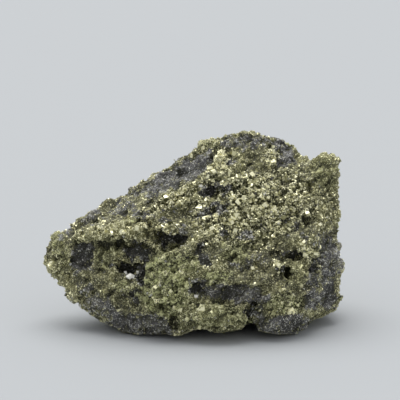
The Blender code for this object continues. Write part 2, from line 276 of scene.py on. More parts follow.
BRIGHT_PATCHES = (
    (113, 231, 20, 8, 3, 0.35), (97, 226, 6, 7, 0, 0.7), (142, 227, 9, 5, -5, 0.45),
    (164, 229, 7, 5, 0, 0.5), (221, 161, 8, 11, -5, 2.4), (212, 170, 5, 4, 0, 1.4),
    (211, 143, 9, 6, 20, 1.4), (272, 158, 8, 8, 0, 2.2), (271, 146, 5, 5, 0, 0.7),
    (243, 182, 7, 6, 0, 1.1), (172, 200, 20, 8, 25, 1.2), (240, 210, 48, 36, -10, 1.0),
    (283, 193, 28, 26, 0, 1.1), (230, 219, 8, 6, 45, 1.6), (250, 205, 7, 6, 0, 1.3),
    (266, 199, 6, 4, 0, 0.9), (278, 264, 7, 5, 0, 0.9), (210, 242, 9, 5, 20, 0.8),
    (204, 228, 6, 6, 0, 0.8), (307, 250, 8, 6, 0, 0.5), (57, 262, 7, 9, 0, 0.65),
    (316, 205, 20, 20, 0, 0.25), (285, 303, 18, 9, 0, 0.95), (290, 303, 8, 4, 0, 1.2),
    (160, 285, 16, 20, 0, 0.2), (199, 150, 7, 5, 35, 0.7),
)
GREEN_PATCHES = (
    (165, 285, 28, 35, 0, 1.0), (213, 317, 38, 14, 0, 0.55), (285, 303, 18, 10, 0, 0.9),
    (218, 277, 16, 8, 0, 0.9), (178, 262, 24, 12, 0, 0.8), (235, 251, 18, 12, 0, 0.7),
    (307, 251, 7, 6, 0, 0.8), (105, 255, 14, 14, 0, 0.5), (122, 285, 10, 6, 0, 0.7),
    (210, 143, 9, 6, 20, 0.9), (221, 161, 8, 11, 0, 0.5), (325, 172, 14, 18, 0, 0.5),
    (60, 250, 10, 18, 0, 0.6), (295, 275, 14, 14, 0, 0.4), (272, 158, 8, 8, 0, 0.5),
    (255, 200, 60, 45, 0, 0.2),
)
# where an oval begins to fade and where it ends, in parts of its half length and half height
OVAL_RIM = (0.7, 1.3)
# the rims' shake, in columns, and the size of its features
RIM_SHAKE, RIM_SIZE, RIM_SEED = 5.0, 3.0 * MM, 9
LAYER_RISE = math.radians(28)
# each pattern has its own seed, and its noise is shifted by that many of these steps
LAYER_SEED = 21
LAYER_SHIFT = (3.7, 1.3, 2.9)
# how rough the layers' noise is, the step from each of its octaves to the next, and their number
LAYER_OCTAVES = (0.6, 2.0, 3)
# the ore's habit: size and stretch of the layers, the noise at which the mineral begins and is full,
# and the share of it that shows between the ovals
FLUORITE_LAYERS = (7 * MM, 2.6, -0.10, 0.33, 0.25)
BRIGHT_LAYERS = (9 * MM, 1.5, 0.05, 0.5, 0.2)
GREEN_LAYERS = (11 * MM, 1.5, -0.1, 0.4, 0.2)
# how squarely the skin faces the camera where the drawn front begins and where it is full
FRONT_FACING = (-0.15, 0.25)


def smooth_step(low, high, value):
    """0 below low, 1 above high and a smooth rise between, for arrays."""
    rise = np.clip((value - low) / (high - low), 0, 1)
    return rise * rise * (3 - 2 * rise)


def oval_cover(column, row, oval):
    """How far each point of the view lies inside an oval: 1 in it, 0 outside, soft between."""
    middle, level, length, height, turn = oval
    angle = math.radians(turn)
    across, up = column - middle, level - row
    along = across * math.cos(angle) + up * math.sin(angle)
    off = up * math.cos(angle) - across * math.sin(angle)
    return 1 - smooth_step(*OVAL_RIM, np.hypot(along / length, off / height))


def patch_weight(patches, column, row):
    """How much of the strongest patch covers each point of the view."""
    covers = [strength * oval_cover(column, row, oval) for *oval, strength in patches]
    return np.max(covers, axis=0)


def shaken_view(points):
    """Where each point is seen, shaken by noise so that whatever is drawn there gets a rough rim."""
    noise.seed_set(RIM_SEED)
    shake = np.array([noise.turbulence_vector(Vector(p), 2, False) for p in points / RIM_SIZE])
    column, row = seen_at(points)
    return column + RIM_SHAKE * shake[:, 0], row + RIM_SHAKE * shake[:, 1]


def layer_noise(points, size, stretch, seed):
    """Noise in layers that rise to the right, about -1 to 1, for an array of points."""
    noise.seed_set(seed)
    along = points[:, 0] * math.cos(LAYER_RISE) + points[:, 2] * math.sin(LAYER_RISE)
    across = points[:, 2] * math.cos(LAYER_RISE) - points[:, 0] * math.sin(LAYER_RISE)
    place = np.stack([along / stretch, points[:, 1] / stretch, across], axis=1) / size
    shift = Vector([seed * step for step in LAYER_SHIFT])
    return np.array([noise.fractal(Vector(p) + shift, *LAYER_OCTAVES) for p in place])


def mineral_map(points, view, front):
    """Shares of fluorite, bright pyrite and green pyrite at each point."""
    shares = []
    drawn_and_hidden = ((FLUORITE_PATCHES, FLUORITE_LAYERS), (BRIGHT_PATCHES, BRIGHT_LAYERS),
                        (GREEN_PATCHES, GREEN_LAYERS))
    for seed, (patches, layers) in enumerate(drawn_and_hidden, LAYER_SEED):
        size, stretch, begins, full, kept = layers
        hidden = smooth_step(begins, full, layer_noise(points, size, stretch, seed))
        drawn = patch_weight(patches, *view)
        shares.append(front * np.maximum(drawn, kept * hidden) + (1 - front) * hidden)
    return shares


skin_points, skin_normals = vertex_arrays(skin.data)
skin_facing = skin_normals @ np.array(TOWARD)
skin_front = smooth_step(*FRONT_FACING, skin_facing)
skin_view = shaken_view(skin_points)
skin_fluorite, skin_bright, skin_green = mineral_map(skin_points, skin_view, skin_front)
print("share of fluorite on the skin:", skin_fluorite.mean().round(2))

# %% [markdown]
# Even between its grains the ore isn't smooth. It breaks into clumps of two or three millimetres,
# each a cluster of grains that held together, and each clump into knobs about half as wide. A cell
# noise gives both: a dome in every cell and a sharp crease where two cells meet, which is how such
# clumps part. The noise's own places are shaken a little first, so that the creases aren't straight.
# The single pits, cracks and knobs that the eye notices are drawn in the view, as the patches are,
# and here and there a knob is missing and leaves a small hole. How coarse the ore is differs over the
# stone: bright and green ore breaks into high clumps, fluorite breaks finer, and the hidden sides are
# kept calmer than the front.

# %% The skin's relief
CLUMP_SIZE, CLUMP_HEIGHT = 2.5 * MM, 0.85 * MM
KNOB_SIZE, KNOB_HEIGHT = 1.4 * MM, 0.45 * MM
LAYER_SIZE, LAYER_STRETCH, LAYER_HEIGHT = 2.4 * MM, 2.8, 0.8 * MM
# how far the creases are shaken, in parts of a cell, how often, and how wide they are
CREASE_SHAKE, SHAKE_RATE, CRACK_WIDTH = 0.45, 1.7, 0.34
# knobs darker than these tones are missing, and leave holes this deep
VUG_TONES, VUG_DEPTH = (0.78, 0.88), 1.4 * MM
# the cells' seed and its steps, and how finely the noise that gives a cell its tone is read
RELIEF_SEED, TONE_RATE = 5, 9.1
RELIEF_SHIFT = (5.1, 2.3, 7.7)
# how coarse dull ore is, what bright ore adds to it, and how much green ore counts as bright
DULL_COARSE, COARSE_GAIN, GREEN_COARSE = 0.35, 0.75, 1.2
# what fluorite takes off it, and the share that the hidden sides keep
FLUORITE_CALM, HIDDEN_COARSE = 0.4, 0.62
# how squarely the skin faces the camera where the drawn relief begins and where it is full
RIM_FACING = (-0.3, 0.05)
# column, row, half length, half height, turn in degrees, height in mm: below 0 it is a hollow
DRAWN_RELIEF = (
    (125, 266, 9, 5, 0, -2.4), (142, 272, 4, 10, 0, -2.0), (170, 239, 15, 5.5, 0, -3.0),
    (156, 232, 3, 6, 0, -1.2), (176, 228, 4, 3, 0, -1.0), (197, 289, 5, 6, 0, -1.9),
    (251, 318, 4, 16, 0, -2.8), (298, 255, 7, 4, 0, -2.4), (287, 258, 8, 1.5, 0, -1.2),
    (284, 270, 7, 5.5, 0, -2.6), (209, 191, 6, 3.5, 20, -1.2), (204, 243, 3, 5, 0, -1.0),
    (272, 203, 6, 2.5, 0, -1.2), (306, 218, 5, 2.5, -20, -1.2), (284, 296, 2, 2.5, 0, -1.0),
    (101, 231, 4, 2.5, 20, -1.2), (118, 226, 5, 2, 0, -1.0), (132, 233, 4, 2.5, 0, -1.2),
    (148, 231, 3, 3, 0, -1.2), (145, 222, 11, 1.8, -15, -1.0), (173, 270, 2, 6, 0, -1.3),
    (162, 290, 4, 3, 0, -1.2), (172, 308, 3, 3, 0, -1.2), (153, 300, 2, 5, 20, -0.9),
    (184, 283, 2, 5, 30, -0.9), (190, 262, 2, 4, 0, -0.9), (230, 262, 5, 2, 0, -0.9),
    (173, 322, 4, 4, 0, -1.4), (344, 297, 5, 6, 0, -1.7), (212, 303, 36, 1.5, 2, -1.0),
    (252, 277, 4, 3, 0, -0.8), (216, 328, 3, 2.5, 0, -0.9), (284, 182, 4, 3, 0, -0.8),
    (135, 293, 3, 6, 0, -0.8), (112, 245, 38, 3, 2, -1.3), (81, 256, 10, 11, 30, -1.0),
    (138, 250, 14, 4, -12, -0.8), (258, 268, 9, 3, 0, -1.0), (213, 314, 34, 10, 0, 0.6),
    (204, 255, 12, 4, -68, -1.2), (319, 266, 12, 3, 50, -1.3), (288, 217, 5, 3, 0, -1.2),
    (296, 225, 4, 3, 0, -0.9), (329, 297, 7, 12, 5, -0.6), (182, 196, 30, 2, 25, -0.8),
    (215, 208, 20, 3, 18, -0.9), (214, 156, 2, 10, -5, -0.9),
    (164, 229, 6, 5, 0, 1.0), (221, 161, 7, 10, 0, 1.1), (112, 232, 28, 7, 3, 1.0),
    (211, 143, 8, 5, 20, 0.6), (272, 158, 7, 7, 0, 0.9), (122, 286, 8, 4, -20, 0.7),
    (188, 287, 6, 6, 0, 0.9), (278, 264, 6, 4, 0, 0.8), (165, 265, 12, 10, 0, 0.5),
    (60, 236, 10, 6, 42, 1.8), (50, 267, 7, 6, 0, 1.3), (68, 292, 12, 6, -50, 1.3),
    (137, 186, 7, 5, 35, 0.9), (118, 198, 7, 4, 30, 0.7), (86, 216, 6, 4, 35, 0.9),
    (182, 158, 7, 4, 35, 0.9), (199, 145, 9, 5, 35, 1.4), (232, 136, 8, 4, 0, 0.8),
    (326, 158, 14, 5, -8, 1.2), (339, 256, 6, 16, 0, 1.5), (339, 186, 5, 14, 0, 0.8),
    (339, 214, 5, 6, 0, 0.9), (309, 164, 5, 4, 0, 1.4), (342, 297, 4, 4, 0, -0.8),
)


def domes(points, size, seed):
    """For each point its height on the dome of its cell, 0 to 1, and the cell's own tone."""
    noise.seed_set(seed)
    shift = Vector([seed * step for step in RELIEF_SHIFT])
    rises, tones = [], []
    for point in points / size:
        place = Vector(point) + shift
        place += CREASE_SHAKE * noise.noise_vector(SHAKE_RATE * place)
        (near, far, *_), (middle, *_) = noise.voronoi(place)
        rises.append(far - near)
        tones.append(noise.cell(TONE_RATE * middle))
    return smooth_step(0, CRACK_WIDTH, np.array(rises)), np.array(tones)


def drawn_relief(view):
    """The height, in metres, of the drawn hollows and knobs at each point of the view."""
    return sum(height * MM * oval_cover(*view, oval) for *oval, height in DRAWN_RELIEF)


clump_rise, clump_tone = domes(skin_points, CLUMP_SIZE, RELIEF_SEED)
knob_rise, knob_tone = domes(skin_points, KNOB_SIZE, RELIEF_SEED + 1)
layer_rise = layer_noise(skin_points, LAYER_SIZE, LAYER_STRETCH, LAYER_SEED + 3)
skin_coarse = np.maximum(np.minimum(skin_bright, 1), GREEN_COARSE * skin_green ** 2)
skin_coarse = DULL_COARSE + COARSE_GAIN * skin_coarse
skin_coarse *= 1 - FLUORITE_CALM * skin_fluorite
skin_coarse *= HIDDEN_COARSE + (1 - HIDDEN_COARSE) * skin_front
skin_vugs = knob_rise * smooth_step(*VUG_TONES, -knob_tone)
skin_drawn = smooth_step(*RIM_FACING, skin_facing) * drawn_relief(skin_view)
print("coarseness, least and most:", skin_coarse.min().round(2), skin_coarse.max().round(2))

# %% [markdown]
# The relief moves each point of the skin along its own normal. All of it starts a little way under
# the solid's surface: the grains that will sit there reach back out to it, and the stone keeps its
# size. The resting face stays flat. At the front the real stone overhangs the floor a little and its
# lowest edge is a wavy line, so whatever would be seen below that line is lifted up to it. That
# leaves a shallow undercut.

# %% Push the skin out and in
# how far under the solid's surface the skin starts
SKIN_DEPTH = 0.45 * MM
# the height over which the relief fades in above the resting face
BASE_HEIGHT = 0.6 * MM
# about the mean height of the domes, so that the relief goes in as much as out
MEAN_RISE = 0.6
# column and row of the stone's lowest edge, as it is seen
FOOT_LINE = (
    (85, 312), (95, 319), (103, 322), (116, 327), (124, 333), (138, 334), (166, 334), (174, 335.5),
    (181, 335), (188, 332), (195, 329), (206, 328.5), (214, 332), (222, 332.5), (229, 331),
    (244, 329), (251, 327), (258, 330), (265, 332), (279, 334), (296, 334), (301, 332),
    (308, 326.5), (312, 320), (322, 317), (334, 311), (340, 303),
)
# over how many rows the lift sets in
FOOT_SOFTNESS = 1.5


def lifted_foot(points):
    """Raises what would be seen below the foot line up to it, as a shallow undercut."""
    column, row = seen_at(points)
    below = row - np.interp(column, *zip(*FOOT_LINE))
    rise = 0.5 * (below + np.hypot(below, FOOT_SOFTNESS)) * PIXEL / math.cos(VIEW_ELEVATION)
    return points + rise[:, None] * np.array([0, 0, 1])


def shape_skin(mesh):
    """Gives the skin its relief and its foot, and keeps the resting face flat."""
    broken = CLUMP_HEIGHT * (clump_rise - MEAN_RISE) + KNOB_HEIGHT * (knob_rise - MEAN_RISE)
    push = skin_coarse * (broken - VUG_DEPTH * skin_vugs)
    push += LAYER_HEIGHT * layer_rise + skin_drawn - SKIN_DEPTH
    above = smooth_step(0, BASE_HEIGHT, skin_points[:, 2])
    moved = skin_points + skin_normals * (push * above)[:, None]
    moved[:, 2] = np.maximum(moved[:, 2], 0)
    moved = lifted_foot(moved)
    mesh.vertices.foreach_set("co", moved.ravel())
    mesh.update()


shape_skin(skin.data)
print("skin triangles:", 2 * len(skin.data.polygons))

# %% [markdown]
# Three more numbers for each vertex follow from the relief. The height tells a crease from the top of
# a clump, and it places the painted shade and light: low places are painted darker, and grains high
# on a clump paler. The tone is shared by a clump and again by a knob, since grains that grew together
# dulled together. And the share of fluorite gets a broken rim, knob by knob. The skin's material reads
# the height and the fluorite, so these two are stored on the mesh as named attributes. The grains take
# their numbers from the vertices that they sit by.


# %% The skin's marks
def store(mesh, name, values):
    """Keeps one number for each vertex under a name that a material can read."""
    attribute = mesh.attributes.new(name, "FLOAT", "POINT")
    attribute.data.foreach_set("value", np.asarray(values, np.float32))


# what the layers, a millimetre of drawn relief and a hole count for in the height, which places the
# painted shade
LAYER_WEIGHT, DRAWN_WEIGHT, VUG_WEIGHT = 0.5, 0.35, 0.5
# how strongly clumps and knobs differ in tone
CLUMP_TONE, KNOB_TONE = 1.0, 1.1
# how far a knob's tone shifts the share of fluorite in it
PATCH_RIM = 0.5
skin_height = MEAN_RISE + skin_coarse * ((clump_rise + knob_rise) / 2 - MEAN_RISE)
skin_height += LAYER_WEIGHT * layer_rise + DRAWN_WEIGHT * skin_drawn / MM - VUG_WEIGHT * skin_vugs
skin_height = np.clip(skin_height, 0, 1)
skin_tone = skin_coarse * (CLUMP_TONE * clump_tone + KNOB_TONE * knob_tone)
skin_fluorite = skin_fluorite + PATCH_RIM * knob_tone * np.sqrt(skin_fluorite)
store(skin.data, "fluorite", skin_fluorite)
store(skin.data, "height", skin_height)
print("mean height of the relief:", skin_height.mean().round(2))

# %% [markdown]
# The skin gets a map of its own, on which its colours can be baked to an image.
# Unfolding a lumpy stone leaves hundreds of shreds. Six projections are enough: each face goes to
# the tile of the side that it faces, left, right, front, back, top or bottom, in a net of three by
# two tiles.

# %% The skin's map
TILE_COLUMNS, TILE_ROWS = 3, 2
TILE_MARGIN = 0.02


def side_map(piece):
    """Adds the map of six projections, named as the export looks for it."""
    mesh = piece.data
    corners = len(mesh.loops)
    vertex = np.empty(corners, np.int64)
    mesh.loops.foreach_get("vertex_index", vertex)
    points, _ = vertex_arrays(mesh)
    normals = np.empty(len(mesh.polygons) * 3)
    mesh.polygons.foreach_get("normal", normals)
    totals = np.empty(len(mesh.polygons), np.int64)
    mesh.polygons.foreach_get("loop_total", totals)
    normals = normals.reshape(-1, 3)
    axis = np.abs(normals).argmax(axis=1)
    away = normals[np.arange(len(axis)), axis] > 0
    axis, away = np.repeat(axis, totals), np.repeat(away, totals)
    low, high = points.min(axis=0), points.max(axis=0)
    unit = (points[vertex] - low) / (high - low)
    across = np.where(axis == 0, unit[:, 1], unit[:, 0])
    up = np.where(axis == 2, unit[:, 1], unit[:, 2])
    span = 1 - 2 * TILE_MARGIN
    u = (axis + TILE_MARGIN + span * across) / TILE_COLUMNS
    v = (away + TILE_MARGIN + span * up) / TILE_ROWS
    layer = mesh.uv_layers.new(name="OFBake")
    layer.data.foreach_set("uv", np.stack([u, v], axis=1).ravel())


side_map(skin)
print("skin map corners:", len(skin.data.loops))

# %% [markdown]
# Now the crust. Each grain needs a seat on the skin. Points thrown at random would clump and leave
# bald spots, and points on a grid would look woven, so the seats are thrown one after the other and
# a seat is kept only if no kept one is nearer than the spacing. That gives the even disorder of
# sugar.


# %% Seats for the grains
def thrown_points(mesh, count, chance):
    """Points spread over a mesh by area, with the normal and the index of a vertex near each."""
    mesh.calc_loop_triangles()
    triangles = np.empty(len(mesh.loop_triangles) * 3, np.int64)
    mesh.loop_triangles.foreach_get("vertices", triangles)
    triangles = triangles.reshape(-1, 3)
    points, normals = vertex_arrays(mesh)
    a, b, c = (points[triangles[:, i]] for i in range(3))
    area = np.linalg.norm(np.cross(b - a, c - a), axis=1)
    pick = chance.choice(len(area), count, p=area / area.sum())
    s, t = np.sqrt(chance.random(count))[:, None], chance.random(count)[:, None]
    place = (1 - s) * a[pick] + s * (1 - t) * b[pick] + s * t * c[pick]
    near = triangles[pick, 0]
    return place, normals[near], near


def spaced_seats(mesh, spacing, tries, chance):
    """Seats thrown over the mesh, none nearer to another than the spacing."""
    area = sum(face.area for face in mesh.polygons)
    points, normals, vertex = thrown_points(mesh, int(tries * area / spacing ** 2), chance)
    cells = np.floor(points / spacing).astype(int)
    near = [(i, j, k) for i in (-1, 0, 1) for j in (-1, 0, 1) for k in (-1, 0, 1)]
    taken, kept = {}, []
    for index, ((x, y, z), point) in enumerate(zip(cells.tolist(), points.tolist())):
        crowd = (taken.get((x + i, y + j, z + k), ()) for i, j, k in near)
        if all(math.dist(point, other) > spacing for group in crowd for other in group):
            taken.setdefault((x, y, z), []).append(point)
            kept.append(index)
    return points[kept], normals[kept], vertex[kept]


# %% [markdown]
# A pyrite grain is a small cube that its neighbours kept from growing true, and a fluorite grain is
# a chip of its eight-faced cleavage. Three forms are made once with mesh operators: a cube for the
# coarse pyrite, a three-sided wedge for the smaller pyrite, of which only a corner shows, and an
# octahedron for the fluorite. They are then repeated with arrays: every copy has its own turn, its
# own three sizes and its own small shift of each corner, so no two are alike. Thousands of separate
# objects would be slow and would be lost on export, so each batch becomes one joined mesh.


# %% The forms of the grains
def grain_form(maker, **settings):
    """The corners and triangles of one form that a mesh operator makes."""
    form = bmesh.new()
    maker(form, **settings)
    bmesh.ops.triangulate(form, faces=form.faces)
    corners = np.array([vertex.co for vertex in form.verts])
    triangles = np.array([[vertex.index for vertex in face.verts] for face in form.faces])
    form.free()
    return corners, triangles


CUBE = grain_form(bmesh.ops.create_cube, size=1.0)
WEDGE = grain_form(bmesh.ops.create_cone, cap_ends=True, segments=3, radius1=0.7, radius2=0.5,
                   depth=1.0)
OCTAHEDRON = grain_form(bmesh.ops.create_uvsphere, u_segments=4, v_segments=2, radius=0.75)
for title, (corners, triangles) in (("cube", CUBE), ("wedge", WEDGE),
                                    ("octahedron", OCTAHEDRON)):
    print(title, len(corners), "corners", len(triangles), "triangles")


# %% Turn, stretch and join the grains
# the margin around a grain's triangles in its own square of the map
CELL_MARGIN = 0.2


def unit(vectors):
    """The vectors at length one."""
    return vectors / np.linalg.norm(vectors, axis=1)[:, None]


def leaning_turns(normals, lean, chance):
    """Rotation matrices that stand a form on the skin, leaning and spun by chance."""
    upright = unit(normals + lean * unit(chance.normal(size=normals.shape)))
    first = unit(np.cross(upright, chance.normal(size=normals.shape)))
    return np.stack([first, np.cross(upright, first), upright], axis=2)


def grain_corners(form, centres, normals, sizes, habit, chance):
    """The corners of a copy of the form at each centre, turned and stretched by chance."""
    corners = form[0]
    count = len(centres)
    uneven, skew, lean = habit
    stretch = 1 + uneven * chance.uniform(-1, 1, (count, 1, 3))
    shift = skew * chance.normal(size=(count, len(corners), 3))
    local = (corners[None] * stretch + shift) * sizes[:, None, None]
    turns = leaning_turns(normals, lean, chance)
    return centres[:, None] + np.einsum("nij,nkj->nki", turns, local)


def grain_cells(count, triangles):
    """Map corners that give each grain one small square of the image for itself."""
    side = math.ceil(math.sqrt(count))
    index = np.arange(count)
    cell = np.stack([index % side, index // side], axis=1)
    low, high = CELL_MARGIN, 1 - CELL_MARGIN
    half_cells = np.array([[(low, low), (high, low), (high, high)],
                           [(high, high), (low, high), (low, low)]])
    pattern = half_cells[np.arange(len(triangles)) % 2].reshape(-1, 2)
    return ((cell[:, None] + pattern[None]) / side).reshape(-1, 2)


def joined_grains(name, form, corners, marks):
    """One mesh of all the grains, with each grain's marks and its own cell of the map."""
    triangles = form[1]
    count, size = corners.shape[:2]
    index = (triangles[None] + size * np.arange(count)[:, None, None]).ravel()
    mesh = bpy.data.meshes.new(name)
    mesh.vertices.add(count * size)
    mesh.vertices.foreach_set("co", corners.ravel())
    mesh.loops.add(len(index))
    mesh.loops.foreach_set("vertex_index", index)
    mesh.polygons.add(len(index) // 3)
    mesh.polygons.foreach_set("loop_start", np.arange(0, len(index), 3))
    mesh.update(calc_edges=True)
    mesh.validate()
    mesh.shade_flat()
    for mark, values in marks.items():
        store(mesh, mark, np.repeat(values, size))
    mesh.uv_layers.new(name="OFBake").data.foreach_set("uv", grain_cells(count, triangles).ravel())
    piece = bpy.data.objects.new(name, mesh)
    bpy.context.scene.collection.objects.link(piece)
    print(name, count, "grains", len(mesh.polygons), "triangles")
    return piece


# %% [markdown]
# The crust has three sizes of grain, laid from large to small. Each batch lists its spacing, the
# range of its sizes, and how far a grain's outer face stands out of the skin, so that it comes to
# lie near the surface of the solid. The larger grains keep to the coarse ore, and the map says which
# mineral sits at a seat, apart from a few strays of the other one. A grain's tone, from dark to
# pale, is a sum: its own chance, livelier in bright ore, the tone of its clump and knob, and its
# height. The height part is painted shade and light: a grain low in a crease is painted darker, and
# a grain on the top of a clump paler.

# %% The crust
# how near to the floor the corners of a grain may come
LOWEST_CORNER = 0.02 * MM
# a grain is left out unless its middle lies this share of its size above the floor
FLOOR_CLEARANCE = 0.3
GRAIN_SEED = 77
# throws for each seat that the area has room for
SEAT_TRIES = 4
# the most triangles of one piece; past them the batch goes on in another
PIECE_TRIANGLES = 196000
# spacing, smallest and largest size, least and most rise of the outer face out of the skin
COARSE = (1.90 * MM, 0.80 * MM, 1.35 * MM, 0.00 * MM, 0.12 * MM)
MEDIUM = (0.85 * MM, 0.55 * MM, 1.05 * MM, 0.05 * MM, 0.28 * MM)
FINE = (0.38 * MM, 0.28 * MM, 0.55 * MM, 0.03 * MM, 0.20 * MM)
# unevenness of the three sizes, skew of the corners, lean
PYRITE_HABIT = (0.40, 0.16, 1.2)
FLUORITE_HABIT = (0.35, 0.08, 1.2)
# the share of its rise that a grain keeps in the finest ore
CALM_RISE = 0.4
# the spread of the grains' own tones, and the share of it that dull ore keeps
GRAIN_TONE, CALM = 1.9, 0.25
# the share of the spread and of the lean that grains lose in green ore
GREEN_CALM = 0.7
# painted shade and light: how much paler a grain is painted from a crease's bottom to a clump's top
PAINTED_HEIGHT_SHADE = 2.8
# the shares of stray fluorite in the pyrite and of stray pyrite in the fluorite
STRAY_FLUORITE, STRAY_PYRITE = 0.02, 0.13
# the further spread of the tones in the fluorite, and how much darker stray pyrite is there
FLUORITE_TONE, STRAY_DULLNESS = 1.15, 0.8
# batches from this size up keep to the coarse ore, which begins at this coarseness
COARSE_BATCH, COARSE_BEGINS = 0.4 * MM, 0.2


def mineral_seats(batch, chance):
    """The seats of one batch, with their normals, sizes and marks."""
    spacing, smallest, largest, least, most = batch
    points, normals, vertex = spaced_seats(skin.data, spacing, SEAT_TRIES, chance)
    bright, green, coarse = skin_bright[vertex], skin_green[vertex], skin_coarse[vertex]
    sizes = chance.uniform(smallest, largest, len(points))
    rise = chance.uniform(least, most, len(points)) * (CALM_RISE + (1 - CALM_RISE) * coarse)
    centres = points + normals * (rise - 0.5 * sizes)[:, None]
    lively = (CALM + (1 - CALM) * np.minimum(bright, 1)) * (1 - GREEN_CALM * green)
    tone = GRAIN_TONE * lively * chance.normal(size=len(points)) + skin_tone[vertex]
    # painted shade in the creases and painted light on the tops of the clumps
    tone += PAINTED_HEIGHT_SHADE * (skin_height[vertex] - MEAN_RISE)
    is_fluorite = skin_fluorite[vertex] > 0.5
    tone += FLUORITE_TONE * is_fluorite * chance.normal(size=len(points))
    stray = chance.random(len(points)) < np.where(is_fluorite, STRAY_PYRITE, STRAY_FLUORITE)
    tone -= STRAY_DULLNESS * (stray & is_fluorite)
    is_fluorite ^= stray
    fit = coarse - COARSE_BEGINS if smallest >= COARSE_BATCH else 1
    clear = (centres[:, 2] > FLOOR_CLEARANCE * sizes) & (chance.random(len(points)) < fit)
    return [part[clear] for part in (centres, normals, sizes, bright, green, tone, is_fluorite)]


def lay_grains(label, batch, chance):
    """Makes the grains of one batch, as one or more pieces for each mineral."""
    centres, normals, sizes, bright, green, tone, is_fluorite = mineral_seats(batch, chance)
    pieces = []
    grain = CUBE if label == "coarse" else WEDGE
    for mineral, form, habit, chosen in (("pyrite", grain, PYRITE_HABIT, ~is_fluorite),
                                         ("fluorite", OCTAHEDRON, FLUORITE_HABIT, is_fluorite)):
        uneven, skew, lean = habit
        limit = PIECE_TRIANGLES // len(form[1])
        chosen = np.flatnonzero(chosen)
        for number, start in enumerate(range(0, len(chosen), limit), 1):
            some = chosen[start:start + limit]
            leans = lean * (1 - GREEN_CALM * green[some])[:, None]
            corners = grain_corners(form, centres[some], normals[some], sizes[some],
                                    (uneven, skew, leans), chance)
            corners[:, :, 2] = np.maximum(corners[:, :, 2], LOWEST_CORNER)
            marks = {"bright": bright[some], "green": green[some], "tone": tone[some]}
            name = f"{label}_{mineral}_grains_{number}"
            pieces.append((mineral, joined_grains(name, form, corners, marks)))
    return pieces


chance = np.random.default_rng(GRAIN_SEED)
grain_pieces = []
for label, batch in (("coarse", COARSE), ("medium", MEDIUM), ("fine", FINE)):
    grain_pieces += lay_grains(label, batch, chance)

# %% [markdown]
# A few single crystals stand out of the crust: bright pyrite cubes on the ledges, and white crystals
# in the pits, most of them in one small cluster on the left. They are truer than the grains, with
# edges that catch the light, so their form is a cube with a narrow bevel. Each is drawn in the view,
# and it sits on the foremost point of the skin that is seen there.


# %% Single crystals
# column, row, size in mm
PYRITE_CUBES = (
    (121, 231, 1.2), (122, 234, 0.9), (254, 268, 1.0), (257, 267, 0.9), (282, 288, 0.8),
    (275, 262, 1.0), (279, 264, 1.0), (272, 266, 0.9), (276, 267, 0.8), (148, 226, 1.1),
    (139, 228, 1.2), (157, 227, 1.0), (229, 221, 1.4), (232, 217, 1.3), (212, 169, 1.4),
    (215, 171, 1.2), (308, 215, 1.2), (275, 236, 0.9), (305, 240, 0.9), (243, 196, 1.3),
    (266, 203, 1.3), (213, 227, 1.2), (317, 252, 1.1), (303, 271, 0.8), (254, 174, 1.2),
    (172, 307, 0.9), (110, 234, 1.0), (97, 226, 1.0), (206, 242, 0.8),
    (256, 281, 0.7), (268, 201, 1.2), (271, 146, 1.1),
)
WHITE_CUBES = (
    (127, 272, 0.9), (129, 274, 1.1), (131, 275, 1.2), (133, 274, 1.2), (135, 272, 0.8),
    (198, 296, 0.7),
)
# unevenness of the three sizes, skew of the corners, lean
CRYSTAL_HABIT = (0.40, 0.10, 0.9)
# the bevel and the height of the middle above the skin, in parts of the size
CRYSTAL_BEVEL, CRYSTAL_RISE = 0.06, 0.3
CRYSTAL_TONE = 0.4
# how far around its place, in columns, a crystal looks for the foremost point
CRYSTAL_REACH = 3


def bevelled_cube(form, size):
    """A cube with a narrow bevel on every edge."""
    bmesh.ops.create_cube(form, size=size)
    bmesh.ops.bevel(form, geom=form.edges, affect="EDGES", offset=CRYSTAL_BEVEL * size,
                    segments=1, profile=0.5, material=-1)


def foremost(column, row):
    """The index of the foremost vertex of the skin near a place of the view."""
    columns, rows = plain_view
    near = np.hypot(columns - column, rows - row) < CRYSTAL_REACH
    ahead = np.where(near, skin_seats @ np.array(TOWARD), -1)
    return int(ahead.argmax())


def lay_crystals(name, places, chance):
    """One joined piece of the single crystals at the drawn places."""
    sizes = np.array([size for _, _, size in places]) * MM
    vertex = [foremost(column, row) for column, row, _ in places]
    centres = skin_seats[vertex] + seat_normals[vertex] * (CRYSTAL_RISE * sizes)[:, None]
    corners = grain_corners(CRYSTAL, centres, seat_normals[vertex], sizes, CRYSTAL_HABIT, chance)
    ones = np.ones(len(places))
    marks = {"bright": ones, "green": 0 * ones, "tone": CRYSTAL_TONE * ones}
    return joined_grains(name, CRYSTAL, corners, marks)


CRYSTAL = grain_form(bevelled_cube, size=1.0)
skin_seats, seat_normals = vertex_arrays(skin.data)
plain_view = seen_at(skin_seats)
grain_pieces.append(("pyrite", lay_crystals("pyrite_cubes", PYRITE_CUBES, chance)))
grain_pieces.append(("white", lay_crystals("white_crystals", WHITE_CUBES, chance)))

# %% [markdown]
# The finishes are sums: dark olive plus a share of brass plus a grain's own tone. Written as nodes
# and links, that is hard to read. One small class wraps a socket, so that a sum is written as a sum
# and still becomes Math nodes, and one method adds any other node.


# %% Shader arithmetic
class Value:
    """A socket that can be added, subtracted and multiplied like a number."""

    def __init__(self, finish, socket):
        self.finish, self.socket = finish, socket

    def math(self, operation, first, second):
        return self.finish.add("ShaderNodeMath", {"operation": operation}, {0: first, 1: second})

    def __add__(self, other):
        return self.math("ADD", self, other)

    def __sub__(self, other):
        return self.math("SUBTRACT", self, other)

    def __mul__(self, other):
        return self.math("MULTIPLY", self, other)

    def __rsub__(self, other):
        return self.math("SUBTRACT", other, self)

    __radd__ = __add__
    __rmul__ = __mul__


